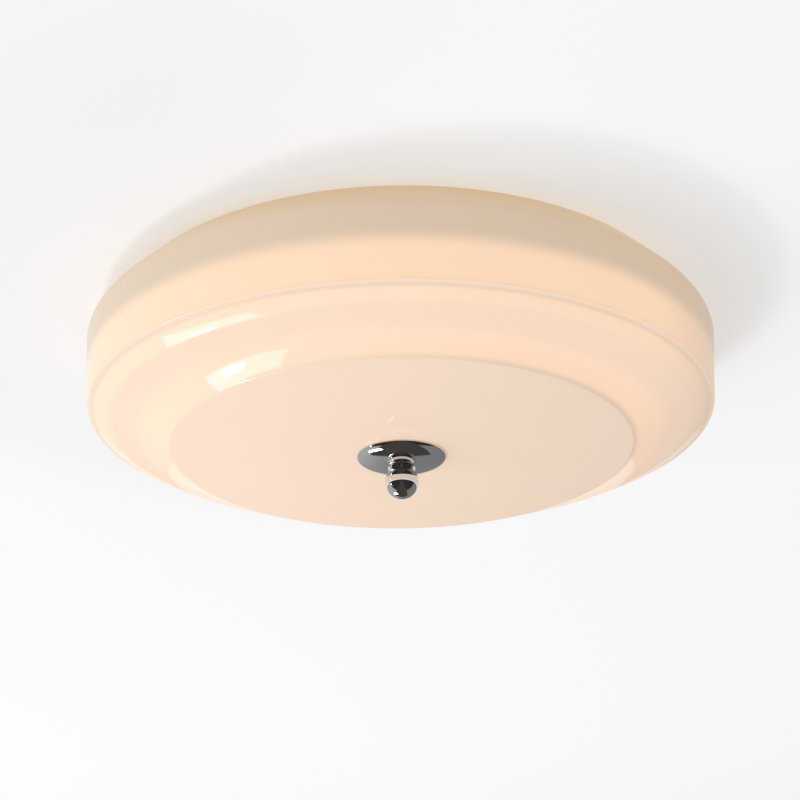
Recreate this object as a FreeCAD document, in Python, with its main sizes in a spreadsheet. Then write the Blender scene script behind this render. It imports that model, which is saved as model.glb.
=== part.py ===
"""Flush mount ceiling light: opal glass shade under a steel pan, held by a ball finial.

Millimetres, +Z up. The origin is the middle of the ceiling plane, and the lamp hangs below it.
"""
import FreeCAD, Part
import math
import os
import Sketcher

V = FreeCAD.Vector

# ---------------------------------------------------------------- driving sizes
SIZES = {
    # opal glass shade: the outside runs from the shoulder down and inwards, corner by corner
    "wall_radius": 201.9, "glass_wall": 4.5, "inner_shift": 1.5,
    "shoulder_in": 18.7, "shoulder_depth": 20.4, "shoulder_round": 3.1,
    "wall_draft": 3.9, "wall_height": 45.6, "foot_round": 0.8,
    "step_in": 2.8, "step_drop": 0.8,
    "band_in": 8.2, "band_drop": 4.5, "band_round": 30.0,
    "tier_in": 24.0, "tier_drop": 8.6,
    "disc_in": 16.6, "disc_drop": 6.9,
    "glass_hole_radius": 7.6,
    # steel pan and the foam ring that centres the glass's neck
    "sheet_steel": 1.0, "flange_gap": 2.2, "flange_width": 10.5, "pan_taper": 10.0,
    "pan_depth": 40.0, "pan_bend": 3.0, "seal_thick": 4.0, "seal_width": 6.0, "seal_gap": 0.5,
    # crossbar
    "bar_length": 120.0, "bar_width": 22.0, "bar_thick": 2.0, "bar_corner": 4.0,
    "slot_spacing": 60.0, "slot_length": 12.0, "slot_width": 4.6, "stud_inset": 12.0,
    # rod, studs and their nuts
    "rod_radius": 4.0, "rod_nut_flats": 13.0, "rod_nut_height": 6.5, "rod_tip_clearance": 0.6,
    "rod_washer_radius": 8.0, "rod_washer_thick": 1.6,
    "stud_radius": 2.0, "stud_below_floor": 6.0, "stud_nut_flats": 7.0, "stud_nut_height": 3.2,
    "top_clearance": 0.3, "bore_clearance": 0.2, "seat_clearance": 0.2,
    # light source
    "board_inset": 6.0, "board_width": 72.0, "board_thick": 1.6,
    "chip_inset": 20.0, "ring_pitch": 24.0, "chip_side": 5.0, "chip_height": 1.5,
    "board_screw_inset": 8.0, "small_screw_radius": 1.5, "small_head_radius": 2.8,
    "small_head_height": 2.0, "screw_grip": 0.9,
    "connector_width": 14.0, "connector_depth": 9.0, "connector_height": 4.2, "connector_inset": 2.0,
    # driver
    "driver_length": 110.0, "driver_width": 44.0, "driver_height": 22.0, "driver_round": 2.0,
    "driver_y": 78.0, "ear_length": 14.0, "ear_width": 16.0, "ear_thick": 1.5, "ear_hole_inset": 7.0,
    # terminal block
    "block_length": 33.0, "block_width": 17.0, "block_height": 14.0, "block_y": -56.0,
    "way_pitch": 10.0, "way_bore_radius": 2.0, "way_bore_height": 5.0, "well_radius": 2.4,
    "well_depth": 3.5, "well_offset": 4.5, "clamp_screw_radius": 2.1, "clamp_screw_height": 2.4,
    # earth point
    "earth_x": -34.0, "earth_y": -40.0, "earth_washer_radius": 5.0, "earth_washer_thick": 0.8,
    "earth_head_radius": 3.8, "earth_head_height": 2.6, "earth_screw_tail": 3.0,
    # leads
    "lead_radius": 1.6, "lead_x": 18.0, "lead_exit_height": 6.0, "lead_bend": 4.0,
    "grommet_gap": 12.0, "grommet_lip": 1.2, "grommet_lip_width": 1.5, "grommet_wall": 2.4,
    # finial and its soft parts
    "cap_radius": 28.8, "cap_height": 8.3, "cap_wall": 1.0, "cap_gap": 0.4, "cap_hub_radius": 11.0,
    "collar_radius": 9.2, "collar_height": 3.6, "knob_neck_radius": 8.8,
    "ball_radius": 10.8, "ball_drop": 9.9, "knob_bore_depth": 12.6,
    "bush_flange_radius": 12.0, "bush_flange_thick": 1.5, "washer_radius": 14.0, "washer_thick": 1.4,
}
CHIP_COUNT = 24  # on each ring
BOARD_SCREW_COUNT = 4
WAY_COUNT = 3
NEAR = 1e-4  # millimetres within which two places count as one
UPRIGHT = 0.99  # share of Z in the direction of an upright edge

doc = FreeCAD.newDocument("ceiling_light")
sheet = doc.addObject("Spreadsheet::Sheet", "Dims")
for row, (alias, number) in enumerate(SIZES.items(), start=1):
    sheet.set(f"A{row}", alias)
    sheet.set(f"B{row}", str(number))
    sheet.setAlias(f"B{row}", alias)
doc.recompute()


class Size:
    """A size kept as an expression on the sheet, together with its present number."""

    def __init__(self, text, number):
        self.text = text
        self.number = number

    def joined(self, sign, other, number):
        return Size(f"({self.text} {sign} {as_size(other).text})", number)

    def __add__(self, other):
        return self.joined("+", other, self.number + as_size(other).number)

    def __sub__(self, other):
        return self.joined("-", other, self.number - as_size(other).number)

    def __mul__(self, other):
        return self.joined("*", other, self.number * as_size(other).number)

    def __truediv__(self, other):
        return self.joined("/", other, self.number / as_size(other).number)

    def __neg__(self):
        return Size(f"(-1 * {self.text})", -self.number)


def as_size(value):
    """Plain numbers become sizes that name no cell."""
    return value if isinstance(value, Size) else Size(f"({value:.9f})", value)


def dim(alias):
    """The size kept in the sheet under this alias."""
    return Size(f"Dims.{alias}", float(sheet.get(alias)))


ZERO = as_size(0.0)

# ---------------------------------------------------------------- corners of the glass's outside
rim_level = -dim("top_clearance")
neck_radius = dim("wall_radius") - dim("shoulder_in")
shoulder_level = -dim("shoulder_depth")
foot_radius = dim("wall_radius") - dim("wall_draft")
foot_level = shoulder_level - dim("wall_height")
step_radius = foot_radius - dim("step_in")
step_level = foot_level - dim("step_drop")
band_radius = step_radius - dim("band_in")
band_level = step_level - dim("band_drop")
tier_radius = band_radius - dim("tier_in")
tier_level = band_level - dim("tier_drop")
disc_radius = tier_radius - dim("disc_in")
disc_level = tier_level - dim("disc_drop")
glass_floor = disc_level + dim("glass_wall")

# ---------------------------------------------------------------- levels and radii worked out from the sizes
floor_under = -dim("pan_depth")
floor_top = floor_under + dim("sheet_steel")
flange_radius = neck_radius - dim("glass_wall") - dim("flange_gap")
pan_top_radius = flange_radius - dim("flange_width")
pan_floor_radius = pan_top_radius - dim("pan_taper")
board_under = floor_under - dim("board_thick")
board_outer_radius = pan_floor_radius - dim("board_inset")
board_inner_radius = board_outer_radius - dim("board_width")
grommet_groove_radius = dim("lead_radius") + dim("grommet_wall")
grommet_y = dim("driver_y") - dim("driver_width") / 2.0 - dim("grommet_gap")
cap_rim = disc_level - dim("cap_gap")
sphere_radius = (dim("cap_radius") * dim("cap_radius") + dim("cap_height") * dim("cap_height")) / (
    dim("cap_height") * 2.0)
sphere_level = cap_rim - dim("cap_height") + sphere_radius
rod_hole = dim("rod_radius") + dim("bore_clearance")
PAST = as_size(1.0)  # how far a cutter runs past the faces that it opens


def square_root(size):
    return Size(f"sqrt({size.text})", math.sqrt(size.number))


cap_seat = sphere_level - square_root(
    sphere_radius * sphere_radius - dim("collar_radius") * dim("collar_radius"))
ball_level = cap_seat - dim("ball_drop")
knob_top = cap_seat - dim("seat_clearance")
rod_tip = knob_top - dim("knob_bore_depth") + dim("rod_tip_clearance")


# ---------------------------------------------------------------- building blocks
def bind(thing, **sizes):
    """Binds properties of an object to expressions."""
    for name, size in sizes.items():
        thing.setExpression(name, as_size(size).text)
    return thing


def place(thing, x=ZERO, y=ZERO, z=ZERO):
    """Puts an object at a point whose coordinates are sizes."""
    for axis, size in zip("xyz", (x, y, z)):
        thing.setExpression(f"Placement.Base.{axis}", as_size(size).text)
    return thing


def primitive(kind, name, at=(ZERO, ZERO, ZERO), **sizes):
    return place(bind(doc.addObject(f"Part::{kind}", name), **sizes), *at)


def cylinder(name, radius, bottom, top, x=ZERO, y=ZERO):
    return primitive("Cylinder", name, (x, y, bottom), Radius=radius, Height=top - bottom)


def block(name, length, width, bottom, top, x=ZERO, y=ZERO):
    """A box centred on x, y."""
    corner = (as_size(x) - length / 2.0, as_size(y) - width / 2.0, bottom)
    return primitive("Box", name, corner, Length=length, Width=width, Height=top - bottom)


def rounded_plate(name, length, width, bottom, top, corner, y=ZERO):
    """A plate or case centred on x = 0, with its four upright edges rounded."""
    body = doc.addObject("PartDesign::Body", name)
    half, depth = length / 2.0, width / 2.0
    y = as_size(y)
    corners = [(-half, y - depth), (half, y - depth), (half, y + depth), (-half, y + depth)]
    sketch = polygon_sketch(body, f"{name}_outline", corners, "XY_Plane")
    sketch.setExpression("AttachmentOffset.Base.z", as_size(bottom).text)
    pad = body.newObject("PartDesign::Pad", f"{name}_pad")
    pad.Profile = sketch
    bind(pad, Length=top - bottom)
    doc.recompute()
    upright = [f"Edge{number}" for number, edge in enumerate(pad.Shape.Edges, start=1)
               if abs(edge.tangentAt(edge.FirstParameter).z) > UPRIGHT]
    fillet = body.newObject("PartDesign::Fillet", f"{name}_corners")
    fillet.Base = (pad, upright)
    bind(fillet, Radius=corner)
    doc.recompute()
    return body


def hex_nut(name, flats, bottom, height, x=ZERO, y=ZERO):
    prism = primitive("Prism", name, (as_size(x), as_size(y), bottom),
                      Circumradius=flats / math.sqrt(3.0), Height=height)
    prism.Polygon = 6
    return prism


def cut(name, base, *tools):
    for number, tool in enumerate(tools):
        result = doc.addObject("Part::Cut", f"{name}_cut{number}")
        result.Base, result.Tool = base, tool
        base = result
    return base


def fuse(name, *shapes):
    result = doc.addObject("Part::MultiFuse", name)
    result.Shapes = list(shapes)
    return result


def common(name, *shapes):
    result = doc.addObject("Part::MultiCommon", name)
    result.Shapes = list(shapes)
    return result


def group(name, members):
    """Separate solids of one kind that share a node."""
    result = doc.addObject("Part::Compound", name)
    result.Links = list(members)
    return result


def finish(thing, label):
    thing.Label = label
    SUBPARTS[label] = thing
    return thing


SUBPARTS = {}


def plane_of(body, role):
    return next(plane for plane in body.Origin.OriginFeatures if plane.Role == role)


def polygon_sketch(body, name, corners, role):
    """A closed outline whose corners are dimensioned from the origin."""
    sketch = body.newObject("Sketcher::SketchObject", name)
    sketch.AttachmentSupport = (plane_of(body, role), [""])
    sketch.MapMode = "FlatFace"
    points = [V(across.number, up.number, 0) for across, up in corners]
    count = len(points)
    for index in range(count):
        sketch.addGeometry(Part.LineSegment(points[index], points[(index + 1) % count]), False)
    for index in range(count):
        sketch.addConstraint(joined_ends(index, (index + 1) % count))
    for index, (across, up) in enumerate(corners):
        dimension(sketch, "DistanceX", index, across)
        dimension(sketch, "DistanceY", index, up)
    return sketch


def joined_ends(first, second):
    return Sketcher.Constraint("Coincident", first, 2, second, 1)


def dimension(sketch, kind, line, size):
    """Dimensions the start of a line from the origin; a zero becomes a point on the axis."""
    if abs(size.number) < NEAR:
        axis = -2 if kind == "DistanceX" else -1
        sketch.addConstraint(Sketcher.Constraint("PointOnObject", line, 1, axis))
        return
    if size.number > 0:
        row = sketch.addConstraint(Sketcher.Constraint(kind, -1, 1, line, 1, size.number))
        sketch.setExpression(f"Constraints[{row}]", size.text)
    else:
        row = sketch.addConstraint(Sketcher.Constraint(kind, line, 1, -1, 1, -size.number))
        sketch.setExpression(f"Constraints[{row}]", (-size).text)


def turned(label, corners, rounds=()):
    """A body of revolution about Z; rounds are (corner, radius) pairs that get a fillet."""
    body = doc.addObject("PartDesign::Body", f"{label}_body")
    sketch = polygon_sketch(body, f"{label}_profile", corners, "XZ_Plane")
    turn = body.newObject("PartDesign::Revolution", f"{label}_turn")
    turn.Profile = sketch
    turn.ReferenceAxis = (sketch, ["V_Axis"])
    turn.Angle = 360
    doc.recompute()
    for number, (corner, radius) in enumerate(rounds):
        rounded(body, f"{label}_round{number}", corner, radius)
    return body


def rounded(body, name, corner, radius):
    """Rounds the circular edge that a profile corner makes."""
    across, up = corner
    base = body.Tip
    fillet = body.newObject("PartDesign::Fillet", name)
    fillet.Base = (base, circle_edges(base.Shape, across.number, up.number))
    bind(fillet, Radius=radius)
    doc.recompute()


def circle_edges(shape, radius, level):
    found = []
    for number, edge in enumerate(shape.Edges, start=1):
        if isinstance(edge.Curve, Part.Circle):
            same_radius = abs(edge.Curve.Radius - radius) < NEAR
            if same_radius and abs(edge.Curve.Center.z - level) < NEAR:
                found.append(f"Edge{number}")
    return found


def bores(body, name, holes, depth, top):
    """Cuts vertical round holes, each (x, y, radius), down from a level into a body."""
    sketch = body.newObject("Sketcher::SketchObject", f"{name}_holes")
    sketch.AttachmentSupport = (plane_of(body, "XY_Plane"), [""])
    sketch.MapMode = "FlatFace"
    sketch.setExpression("AttachmentOffset.Base.z", top.text)
    for index, (x, y, radius) in enumerate(holes):
        centre = V(as_size(x).number, as_size(y).number, 0)
        sketch.addGeometry(Part.Circle(centre, V(0, 0, 1), as_size(radius).number), False)
        row = sketch.addConstraint(Sketcher.Constraint("Radius", index, as_size(radius).number))
        sketch.setExpression(f"Constraints[{row}]", as_size(radius).text)
        centre_dimension(sketch, "DistanceX", index, as_size(x))
        centre_dimension(sketch, "DistanceY", index, as_size(y))
    pocket = body.newObject("PartDesign::Pocket", f"{name}_pocket")
    pocket.Profile = sketch
    bind(pocket, Length=depth)
    doc.recompute()
    return body


def centre_dimension(sketch, kind, circle, size):
    if abs(size.number) < NEAR:
        axis = -2 if kind == "DistanceX" else -1
        sketch.addConstraint(Sketcher.Constraint("PointOnObject", circle, 3, axis))
    elif size.number > 0:
        row = sketch.addConstraint(Sketcher.Constraint(kind, -1, 1, circle, 3, size.number))
        sketch.setExpression(f"Constraints[{row}]", size.text)
    else:
        row = sketch.addConstraint(Sketcher.Constraint(kind, circle, 3, -1, 1, -size.number))
        sketch.setExpression(f"Constraints[{row}]", (-size).text)


def ring_points(radius, count, first=0.0):
    """Points evenly spaced on a circle, as pairs of sizes."""
    turns = [math.radians(first + 360.0 * index / count) for index in range(count)]
    return [(radius * math.cos(turn), radius * math.sin(turn)) for turn in turns]


def routed(points, bend):
    """Straight runs joined by tangent arcs through a list of points."""
    edges, start = [], points[0]
    for before, corner, after in zip(points, points[1:], points[2:]):
        towards, away = (before - corner).normalize(), (after - corner).normalize()
        half = towards.getAngle(away) / 2.0
        reach = bend / math.tan(half)
        entry, leave = corner + towards * reach, corner + away * reach
        middle_way = (towards + away).normalize()
        middle = corner + middle_way * (bend / math.sin(half) - bend)
        edges.append(Part.LineSegment(start, entry).toShape())
        edges.append(Part.Arc(entry, middle, leave).toShape())
        start = leave
    edges.append(Part.LineSegment(start, points[-1]).toShape())
    return Part.Wire(edges)


def lead(label, points, radius, bend):
    """A round lead along a routed path."""
    path = routed(points, bend)
    first = (points[1] - points[0]).normalize()
    ring = Part.Wire([Part.Circle(points[0], first, radius).toShape()])
    tube = doc.addObject("Part::Feature", label)
    tube.Shape = path.makePipeShell([ring], True, False)
    print(label, "length", round(path.Length, 1), "mm")
    return finish(tube, label)


# ---------------------------------------------------------------- shade
def glass_shade():
    """Flared shoulder, near-vertical wall, small step, domed band, sloping tier and a flat disc."""
    wall, shift, hole = dim("glass_wall"), dim("inner_shift"), dim("glass_hole_radius")
    shoulder, foot = (dim("wall_radius"), shoulder_level), (foot_radius, foot_level)
    band = (band_radius, band_level)
    outer = [(neck_radius, rim_level), shoulder, foot, (step_radius, step_level), band,
             (tier_radius, tier_level), (disc_radius, disc_level), (hole, disc_level)]
    inner = [(hole, glass_floor),
             (disc_radius - shift, glass_floor),
             (tier_radius - shift, tier_level + wall),
             (band_radius - shift, band_level + wall),
             (foot_radius - wall, foot_level + wall),
             (dim("wall_radius") - wall, shoulder_level - shift),
             (neck_radius - wall, rim_level)]
    rounds = [(shoulder, dim("shoulder_round")), (foot, dim("foot_round")), (band, dim("band_round"))]
    return finish(turned("glass_shade", outer + inner, rounds), "glass_shade")


def shade_bush():
    """Silicone sleeve in the glass's hole, with a flange that lies on the glass inside."""
    sleeve = cylinder("bush_sleeve", dim("glass_hole_radius") - dim("bore_clearance"),
                      disc_level, glass_floor)
    flange = cylinder("bush_flange", dim("bush_flange_radius"), glass_floor,
                      glass_floor + dim("bush_flange_thick"))
    bore = cylinder("bush_bore", rod_hole, disc_level - PAST,
                    glass_floor + dim("bush_flange_thick") + PAST)
    finish(cut("shade_bush", fuse("bush_outer", sleeve, flange), bore), "shade_bush")


def shade_washer():
    """Soft washer between the glass and the cap's hub."""
    disc = cylinder("washer_disc", dim("washer_radius"), disc_level - dim("washer_thick"), disc_level)
    bore = cylinder("washer_bore", rod_hole, disc_level - dim("washer_thick") - PAST, disc_level + PAST)
    finish(cut("shade_washer", disc, bore), "shade_washer")


# ---------------------------------------------------------------- finial
def finial_cap():
    """Shallow spherical shell with a hub that presses the washer."""
    outside = common("cap_outside",
                     primitive("Sphere", "cap_sphere", (ZERO, ZERO, sphere_level), Radius=sphere_radius),
                     cylinder("cap_blank", dim("cap_radius"), cap_seat, cap_rim))
    hollow = common("cap_hollow",
                    primitive("Sphere", "cap_inner_sphere", (ZERO, ZERO, sphere_level),
                              Radius=sphere_radius - dim("cap_wall")),
                    cylinder("cap_inner_blank", dim("cap_radius") - dim("cap_wall"),
                             cap_seat + dim("cap_wall"), cap_rim + PAST))
    shell = cut("cap_shell", outside, hollow)
    hub = cylinder("cap_hub", dim("cap_hub_radius"), cap_seat + dim("cap_wall") / 2.0,
                   disc_level - dim("washer_thick") - dim("seat_clearance"))
    bore = cylinder("cap_bore", rod_hole, cap_seat - PAST, cap_rim + PAST)
    finish(cut("finial_cap", fuse("cap_solid", shell, hub), bore), "finial_cap")


def finial_knob():
    """Ball under a collar that bears on the cap, with a blind bore for the rod."""
    ball = common("knob_ball",
                  primitive("Sphere", "knob_sphere", (ZERO, ZERO, ball_level), Radius=dim("ball_radius")),
                  cylinder("knob_blank", dim("ball_radius"), ball_level - dim("ball_radius"), knob_top))
    collar = cylinder("knob_collar", dim("collar_radius"), knob_top - dim("collar_height"), knob_top)
    neck = cylinder("knob_neck", dim("knob_neck_radius"), ball_level, knob_top)
    bore = cylinder("knob_bore", rod_hole, knob_top - dim("knob_bore_depth"), knob_top + PAST)
    finish(cut("finial_knob", fuse("knob_solid", ball, neck, collar), bore), "finial_knob")


# ---------------------------------------------------------------- pan
def board_screw_points():
    return ring_points(board_inner_radius + dim("board_screw_inset"), BOARD_SCREW_COUNT, first=45.0)


def stud_points():
    half = dim("bar_length") / 2.0 - dim("stud_inset")
    return [(-half, ZERO), (half, ZERO)]


def driver_screw_points():
    reach = dim("driver_length") / 2.0 + dim("ear_length") - dim("ear_hole_inset")
    return [(-reach, dim("driver_y")), (reach, dim("driver_y"))]


def ceiling_pan():
    """Pressed steel dish: flange against the ceiling, tapered side, flat floor."""
    steel = dim("sheet_steel")
    corners = [(flange_radius, ZERO), (flange_radius, -steel), (pan_top_radius, -steel),
               (pan_floor_radius, floor_under), (ZERO, floor_under), (ZERO, floor_top),
               (pan_floor_radius - steel, floor_top), (pan_top_radius - steel, ZERO)]
    rounds = [((pan_floor_radius, floor_under), dim("pan_bend"))]
    pan = turned("ceiling_pan", corners, rounds)
    small = dim("small_screw_radius") + dim("bore_clearance")
    holes = [(ZERO, ZERO, rod_hole)]
    holes += [(x, y, dim("stud_radius") + dim("bore_clearance")) for x, y in stud_points()]
    holes += [(x, y, small) for x, y in board_screw_points() + driver_screw_points()]
    holes.append((dim("earth_x"), dim("earth_y"), dim("stud_radius") + dim("bore_clearance")))
    holes.append((dim("lead_x"), grommet_y, grommet_groove_radius))
    finish(bores(pan, "pan", holes, steel + PAST * 2.0, floor_top + PAST), "ceiling_pan")


def pan_seal():
    """Foam ring under the flange."""
    outer = neck_radius - dim("glass_wall") - dim("seal_gap")
    top = -dim("sheet_steel")
    bottom = top - dim("seal_thick")
    finish(cut("pan_seal", cylinder("seal_disc", outer, bottom, top),
               cylinder("seal_hole", outer - dim("seal_width"), bottom - PAST, top + PAST)), "pan_seal")


def slot_tool(name, x):
    """The cutter of one fixing slot, long along X."""
    half, width = dim("slot_length") / 2.0, dim("slot_width")
    bottom, top = -dim("bar_thick") - PAST, PAST
    ends = half - width / 2.0
    middle = block(f"{name}_middle", ends * 2.0, width, bottom, top, x)
    left = cylinder(f"{name}_left", width / 2.0, bottom, top, x - ends)
    right = cylinder(f"{name}_right", width / 2.0, bottom, top, x + ends)
    return fuse(name, middle, left, right)


def mounting_crossbar():
    """Steel strip with two ceiling-screw slots, two stud holes and the rod's hole."""
    strip = rounded_plate("bar_strip", dim("bar_length"), dim("bar_width"), -dim("bar_thick"), ZERO,
                          dim("bar_corner"))
    half_slots = dim("slot_spacing") / 2.0
    tools = [slot_tool("slot_a", -half_slots), slot_tool("slot_b", half_slots)]
    under, over = -dim("bar_thick") - PAST, PAST
    stud = dim("stud_radius") + dim("bore_clearance")
    for number, (x, y) in enumerate(stud_points()):
        tools.append(cylinder(f"bar_stud_hole{number}", stud, under, over, x, y))
    tools.append(cylinder("bar_rod_hole", rod_hole, under, over))
    finish(cut("mounting_crossbar", strip, *tools), "mounting_crossbar")


def pan_studs():
    bottom = floor_under - dim("stud_below_floor")
    members = [cylinder(f"stud{n}", dim("stud_radius"), bottom, -dim("top_clearance"), x, y)
               for n, (x, y) in enumerate(stud_points())]
    finish(group("pan_studs", members), "pan_studs")


def nut_with_hole(name, flats, bottom, height, hole, x=ZERO, y=ZERO):
    nut = hex_nut(f"{name}_hex", flats, bottom, height, x, y)
    return cut(name, nut, cylinder(f"{name}_hole", hole, bottom - PAST, bottom + height + PAST, x, y))


def pan_nuts():
    """One nut under the bar and one under the pan on each stud."""
    hole = dim("stud_radius") + dim("bore_clearance")
    members = []
    for n, (x, y) in enumerate(stud_points()):
        for place_name, top in (("bar", -dim("bar_thick")), ("pan", floor_under)):
            members.append(nut_with_hole(f"stud_nut_{place_name}{n}", dim("stud_nut_flats"),
                                         top - dim("stud_nut_height"), dim("stud_nut_height"),
                                         hole, x, y))
    finish(group("pan_nuts", members), "pan_nuts")


def centre_rod():
    finish(cylinder("centre_rod", dim("rod_radius"), rod_tip, -dim("top_clearance")), "centre_rod")


def rod_hardware():
    """Nuts under the bar and on both sides of the pan's floor, with a washer on each side of it."""
    thick, height = dim("rod_washer_thick"), dim("rod_nut_height")
    bottoms = [-dim("bar_thick") - height, floor_top + thick, floor_under - thick - height]
    nuts = [nut_with_hole(f"rod_nut{n}", dim("rod_nut_flats"), bottom, height, rod_hole)
            for n, bottom in enumerate(bottoms)]
    finish(group("rod_nuts", nuts), "rod_nuts")
    washers = []
    for n, bottom in enumerate([floor_top, floor_under - thick]):
        disc = cylinder(f"rod_washer_disc{n}", dim("rod_washer_radius"), bottom, bottom + thick)
        hole = cylinder(f"rod_washer_hole{n}", rod_hole, bottom - PAST, bottom + thick + PAST)
        washers.append(cut(f"rod_washer{n}", disc, hole))
    finish(group("rod_washers", washers), "rod_washers")


# ---------------------------------------------------------------- light source
def led_board():
    board = cylinder("board_disc", board_outer_radius, board_under, floor_under)
    tools = [cylinder("board_hole", board_inner_radius, board_under - PAST, floor_under + PAST)]
    hole = dim("small_screw_radius") + dim("bore_clearance")
    for n, (x, y) in enumerate(board_screw_points()):
        tools.append(cylinder(f"board_screw_hole{n}", hole, board_under - PAST, floor_under + PAST, x, y))
    finish(cut("led_board", board, *tools), "led_board")


def led_chips():
    """Square emitters on two rings, each turned to face along its ring's radius."""
    members = []
    outer_ring = board_outer_radius - dim("chip_inset")
    for ring, radius in (("outer", outer_ring), ("inner", outer_ring - dim("ring_pitch"))):
        for n, (x, y) in enumerate(ring_points(radius, CHIP_COUNT)):
            chip = doc.addObject("Part::Prism", f"chip_{ring}{n}")
            chip.Polygon = 4
            corner_first = 360.0 * n / CHIP_COUNT + 45.0
            chip.Placement = FreeCAD.Placement(V(0, 0, 0), FreeCAD.Rotation(V(0, 0, 1), corner_first))
            bind(chip, Circumradius=dim("chip_side") / math.sqrt(2.0), Height=dim("chip_height"))
            members.append(place(chip, x, y, board_under - dim("chip_height")))
    finish(group("led_chips", members), "led_chips")


def led_screws():
    members = []
    for n, (x, y) in enumerate(board_screw_points()):
        head = cylinder(f"board_head{n}", dim("small_head_radius"),
                        board_under - dim("small_head_height"), board_under, x, y)
        shank = cylinder(f"board_shank{n}", dim("small_screw_radius"),
                         board_under - dim("small_head_height") / 2.0,
                         floor_under + dim("screw_grip"), x, y)
        members.append(fuse(f"board_screw{n}", head, shank))
    finish(group("led_screws", members), "led_screws")


def connector_y():
    return board_inner_radius + dim("connector_inset") + dim("connector_depth") / 2.0


def led_connector():
    finish(block("led_connector", dim("connector_width"), dim("connector_depth"),
                 board_under - dim("connector_height"), board_under, dim("lead_x"), connector_y()),
           "led_connector")


# ---------------------------------------------------------------- driver, terminals, earth
def led_driver():
    """Driver case with two screw ears."""
    case = rounded_plate("driver_case", dim("driver_length"), dim("driver_width"), floor_top,
                         floor_top + dim("driver_height"), dim("driver_round"), dim("driver_y"))
    ears = block("driver_ears", dim("driver_length") + dim("ear_length") * 2.0, dim("ear_width"),
                 floor_top, floor_top + dim("ear_thick"), y=dim("driver_y"))
    hole = dim("small_screw_radius") + dim("bore_clearance")
    holes = [cylinder(f"ear_hole{n}", hole, floor_top - PAST, floor_top + dim("ear_thick") + PAST, x, y)
             for n, (x, y) in enumerate(driver_screw_points())]
    finish(cut("led_driver", fuse("driver_solid", case, ears), *holes), "led_driver")


def driver_screws():
    members = []
    for n, (x, y) in enumerate(driver_screw_points()):
        seat = floor_top + dim("ear_thick")
        head = cylinder(f"driver_head{n}", dim("small_head_radius"), seat,
                        seat + dim("small_head_height"), x, y)
        shank = cylinder(f"driver_shank{n}", dim("small_screw_radius"),
                         floor_top - dim("screw_grip"), seat + dim("small_head_height") / 2.0,
                         x, y)
        members.append(fuse(f"driver_screw{n}", head, shank))
    finish(group("driver_screws", members), "driver_screws")


def way_points():
    """Middle of each clamp screw, two to a way."""
    first = (WAY_COUNT - 1) / 2.0
    points = []
    for way in range(WAY_COUNT):
        x = dim("way_pitch") * (way - first)
        for side in (-1.0, 1.0):
            points.append((x, dim("block_y") + dim("well_offset") * side))
    return points


def terminal_block():
    """Three-way block with a through bore and two screw wells in each way."""
    top = floor_top + dim("block_height")
    body = block("terminal_body", dim("block_length"), dim("block_width"), floor_top, top,
                 y=dim("block_y"))
    tools = [cylinder(f"well{n}", dim("well_radius"), top - dim("well_depth"), top + PAST, x, y)
             for n, (x, y) in enumerate(way_points())]
    for way in range(WAY_COUNT):
        x = dim("way_pitch") * (way - (WAY_COUNT - 1) / 2.0)
        bore = doc.addObject("Part::Cylinder", f"way_bore{way}")
        bore.Placement = FreeCAD.Placement(V(0, 0, 0), FreeCAD.Rotation(V(1, 0, 0), 90))
        bind(bore, Radius=dim("way_bore_radius"), Height=dim("block_width") + PAST * 2.0)
        place(bore, x, dim("block_y") + dim("block_width") / 2.0 + PAST,
              floor_top + dim("way_bore_height"))
        tools.append(bore)
    finish(cut("terminal_block", body, *tools), "terminal_block")


def terminal_screws():
    bottom = floor_top + dim("block_height") - dim("well_depth")
    members = [cylinder(f"clamp_screw{n}", dim("clamp_screw_radius"), bottom,
                        bottom + dim("clamp_screw_height"), x, y)
               for n, (x, y) in enumerate(way_points())]
    finish(group("terminal_screws", members), "terminal_screws")


def earth_point():
    x, y = dim("earth_x"), dim("earth_y")
    hole = dim("stud_radius") + dim("bore_clearance")
    washer_top = floor_top + dim("earth_washer_thick")
    washer = cylinder("earth_washer_disc", dim("earth_washer_radius"), floor_top, washer_top, x, y)
    washer_hole = cylinder("earth_washer_hole", hole, floor_top - PAST, washer_top + PAST, x, y)
    finish(cut("earth_washer", washer, washer_hole), "earth_washer")
    head = cylinder("earth_head", dim("earth_head_radius"), washer_top,
                    washer_top + dim("earth_head_height"), x, y)
    shank = cylinder("earth_shank", dim("stud_radius"), floor_under - dim("earth_screw_tail"),
                     washer_top + dim("earth_head_height") / 2.0, x, y)
    finish(fuse("earth_screw", head, shank), "earth_screw")


# ---------------------------------------------------------------- grommet and leads
def lead_grommet():
    """Rubber grommet in the floor, a lip on each side of the sheet."""
    x, y, lip = dim("lead_x"), grommet_y, dim("grommet_lip")
    lip_radius = grommet_groove_radius + dim("grommet_lip_width")
    groove = cylinder("grommet_groove", grommet_groove_radius - dim("bore_clearance"),
                      floor_under - lip, floor_top + lip, x, y)
    lower = cylinder("grommet_lower", lip_radius, floor_under - lip, floor_under, x, y)
    upper = cylinder("grommet_upper", lip_radius, floor_top, floor_top + lip, x, y)
    bore = cylinder("grommet_bore", dim("lead_radius") + dim("bore_clearance"),
                    floor_under - lip - PAST, floor_top + lip + PAST, x, y)
    finish(cut("lead_grommet", fuse("grommet_solid", groove, lower, upper), bore), "lead_grommet")


def point(x, y, z):
    return V(as_size(x).number, as_size(y).number, as_size(z).number)


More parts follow.
